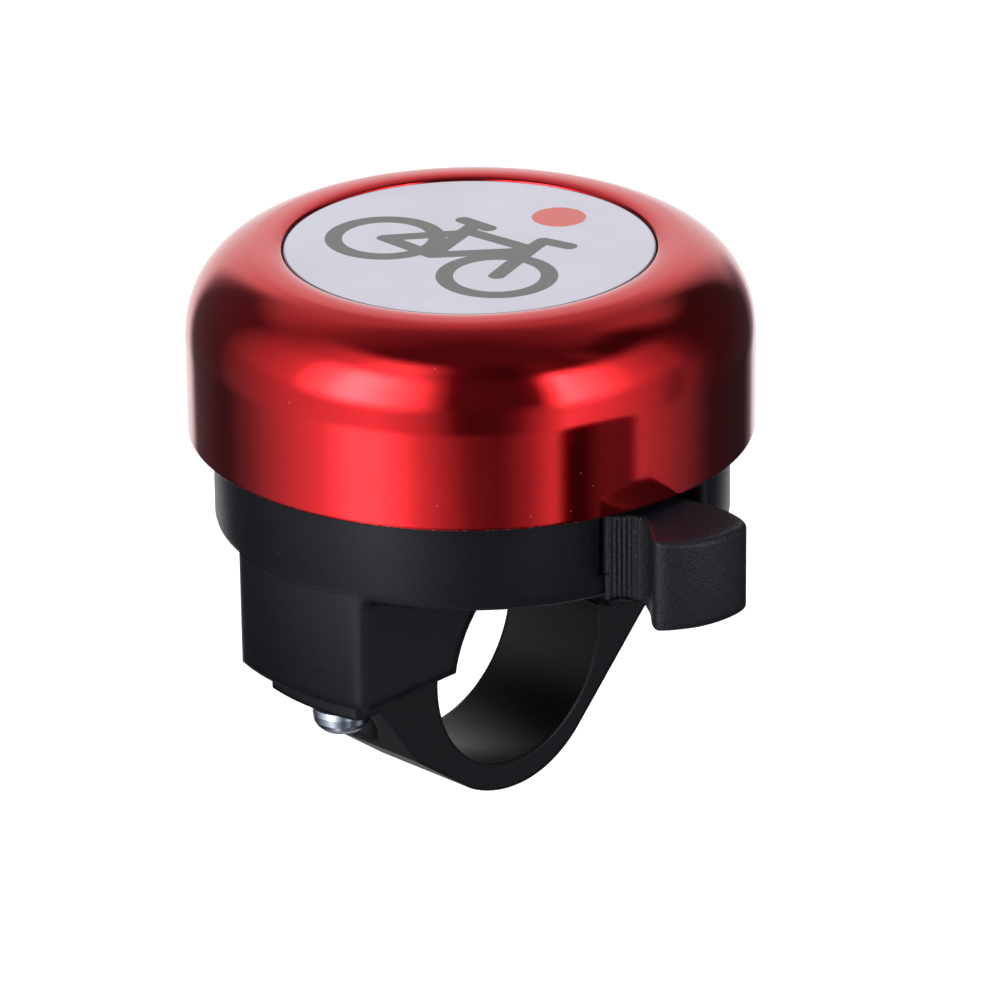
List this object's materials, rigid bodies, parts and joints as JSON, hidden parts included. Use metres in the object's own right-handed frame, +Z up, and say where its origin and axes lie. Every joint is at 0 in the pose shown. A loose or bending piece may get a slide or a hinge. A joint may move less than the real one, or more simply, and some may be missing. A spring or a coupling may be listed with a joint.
{
  "type": "bicycle bell",
  "caption": "Domed handlebar bell with a ribbed thumb lever, a geared spinning striker with loose rings, and a split clamp closed by one screw.",
  "frame": {"origin": "centre of the clamp bore on the handlebar's axis, straight under the bell's axis", "axes": "+X along the handlebar towards the thumb lever, +Z up along the bell's axis, -Y towards the clamp screw"},
  "size_m": [0.0622, 0.054, 0.0546],
  "materials": {
    "dome_red": "gloss red anodised",
    "label": "printed disc",
    "black_abs": "satin moulded",
    "lever_abs": "fine grained",
    "gear_pom": "moulded natural acetal",
    "zinc_steel": "blue zinc plate",
    "bright_steel": "turned",
    "spring_steel": "spring wire",
    "phosphate": "phosphated clip"
  },
  "bodies": {
    "housing": {"base_housing": "black_abs", "bell_dome": "dome_red", "label_disc": "label", "dome_bush": "bright_steel", "centre_post": "bright_steel", "post_nut": "zinc_steel", "rotor_washers": "bright_steel", "rotor_clip": "phosphate", "idler_pin": "bright_steel", "idler_clip": "phosphate", "lever_spring": "spring_steel", "lever_washer": "bright_steel", "lever_screw": "zinc_steel", "clamp_nut": "zinc_steel"},
    "lever": {"thumb_lever": "lever_abs"},
    "idler": {"idler_gear": "gear_pom"},
    "rotor": {"rotor_gear": "gear_pom", "striker_plate": "zinc_steel", "striker_pins": "bright_steel"},
    "ring_a": {"striker_ring_a": "zinc_steel"},
    "ring_b": {"striker_ring_b": "zinc_steel"},
    "strap": {"clamp_strap": "black_abs"},
    "washers": {"clamp_washer": "zinc_steel", "lock_washer": "spring_steel"},
    "screw": {"clamp_screw": "zinc_steel"}
  },
  "joints": [
    {"name": "lever_pivot", "type": "hinge", "parent": "housing", "child": "lever", "pos_m": [0.009, 0.0035, 0.0184], "axis": [0, 0, 1], "range_deg": [0, 30], "stiffness_Nm_per_rad": 0.02, "springref_deg": -20.05, "deforming": ["lever_spring"]},
    {"name": "idler_spin", "type": "hinge", "parent": "housing", "child": "idler", "pos_m": [0.00539, -0.01106, 0.0185], "axis": [0, 0, 1], "range_deg": [-121, 1]},
    {"name": "rotor_spin", "type": "hinge", "parent": "housing", "child": "rotor", "pos_m": [0, 0, 0.0217], "axis": [0, 0, 1], "range_deg": [0, 258.4]},
    {"name": "ring_a_slide", "type": "slide", "parent": "rotor", "child": "ring_a", "axis": [0, 1, 0], "range_m": [-0.0016, 0.0016]},
    {"name": "ring_b_slide", "type": "slide", "parent": "rotor", "child": "ring_b", "axis": [0, 1, 0], "range_m": [-0.0016, 0.0016]},
    {"name": "strap_swing", "type": "hinge", "parent": "housing", "child": "strap", "pos_m": [0, 0.0186, 0.0052], "axis": [1, 0, 0], "range_deg": [0, 3.02]},
    {"name": "washer_travel", "type": "slide", "parent": "housing", "child": "washers", "axis": [0, 0, -1], "range_m": [0, 0.00213]},
    {"name": "screw_turn", "type": "hinge", "parent": "washers", "child": "screw", "pos_m": [0, -0.0181, -0.0023], "axis": [0, 0, -1], "range_deg": [0, 1531]}
  ],
  "couplings": [
    {"joint": "lever_pivot", "follows": "rotor_spin", "ratio": 0.11607},
    {"joint": "idler_spin", "follows": "rotor_spin", "ratio": -0.46429},
    {"joint": "screw_turn", "follows": "washer_travel", "rad_per_m": 12566},
    {"joint": "strap_swing", "follows": "washer_travel", "rad_per_m": 24.64}
  ]
}
